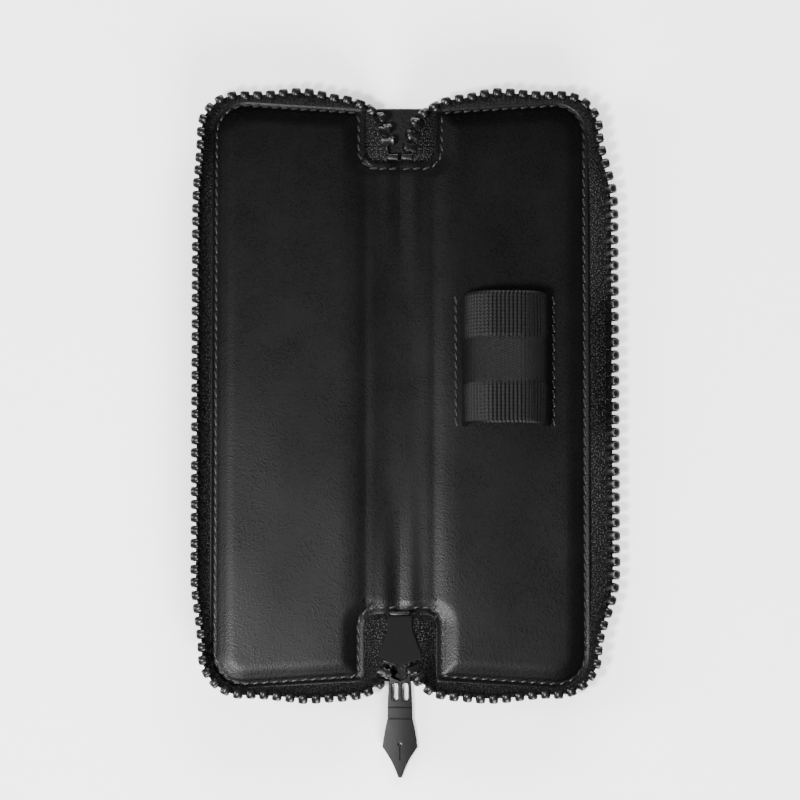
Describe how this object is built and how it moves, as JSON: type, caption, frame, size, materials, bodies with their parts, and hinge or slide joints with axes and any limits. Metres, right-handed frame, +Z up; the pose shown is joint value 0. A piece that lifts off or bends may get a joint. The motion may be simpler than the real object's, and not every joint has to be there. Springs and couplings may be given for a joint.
{
  "type": "fountain pen case",
  "caption": "Zip-around leather case that opens flat like a book, with an elastic pen loop, moulded zip chain, slider and a nib-shaped pull, for carrying a fountain pen.",
  "frame": {"origin": "middle of the spine's underside, on the surface the open case rests on", "axes": "+X towards the half with the pen loop, +Y along the spine towards the end where the zip starts, +Z up out of the open case"},
  "size_m": [0.1106, 0.1786, 0.0171],
  "materials": {
    "outer_leather": "black full-grain leather, fine grain, semi-matt",
    "lining_leather": "smooth black lining leather, soft sheen",
    "board": "stiff bonded-fibre board",
    "pad": "thin dark foam pad",
    "zip_tape": "black woven zip tape",
    "zip_teeth": "black moulded zip teeth, satin",
    "thread": "black sewing thread",
    "elastic": "black ribbed elastic webbing",
    "slider_metal": "die-cast slider, black matt coating",
    "pull_metal": "nib-shaped pull, black satin coating"
  },
  "bodies": {
    "spine": {"spine_cover": "outer_leather", "spine_stiffener": "board", "spine_lining": "lining_leather", "spine_seam_thread": "thread", "slider_end_tape_right": "zip_tape", "slider_end_tape_left": "zip_tape", "slider_end_teeth_right": "zip_teeth", "slider_end_teeth_left": "zip_teeth", "stop_end_tape_right": "zip_tape", "stop_end_tape_left": "zip_tape", "stop_end_teeth_right": "zip_teeth", "stop_end_teeth_left": "zip_teeth", "chain_stop_right": "zip_teeth", "chain_stop_left": "zip_teeth", "bottom_stop": "zip_teeth"},
    "slider": {"slider_body": "slider_metal", "slider_bridge": "slider_metal"},
    "pull": {"zip_pull": "pull_metal"},
    "left_leaf": {"left_cover": "outer_leather", "left_board": "board", "left_pad": "pad", "left_lining": "lining_leather", "left_seam_thread": "thread", "left_zip_tape": "zip_tape", "left_teeth": "zip_teeth"},
    "right_leaf": {"right_cover": "outer_leather", "right_board": "board", "right_pad": "pad", "right_lining": "lining_leather", "right_seam_thread": "thread", "right_zip_tape": "zip_tape", "right_teeth": "zip_teeth", "pen_loop": "elastic", "pen_loop_thread": "thread"}
  },
  "joints": [
    {"name": "left_fold", "type": "hinge", "parent": "spine", "child": "left_leaf", "pos_m": [-0.009, 0, 0.0027], "axis": [0, 1, 0], "range_deg": [0, 90], "deforming": ["slider_end_tape_left", "slider_end_teeth_left", "stop_end_tape_left", "stop_end_teeth_left"]},
    {"name": "right_fold", "type": "hinge", "parent": "spine", "child": "right_leaf", "pos_m": [0.009, 0, 0.0027], "axis": [0, -1, 0], "range_deg": [0, 90], "deforming": ["slider_end_tape_right", "slider_end_teeth_right", "stop_end_tape_right", "stop_end_teeth_right"]},
    {"name": "slider_travel", "type": "slide", "parent": "spine", "child": "slider", "axis": [0, -1, 0], "range_m": [0, 0.006]},
    {"name": "pull_swing", "type": "hinge", "parent": "slider", "child": "pull", "pos_m": [0, -0.0687, 0.00325], "axis": [-1, 0, 0], "range_deg": [0, 12]}
  ]
}
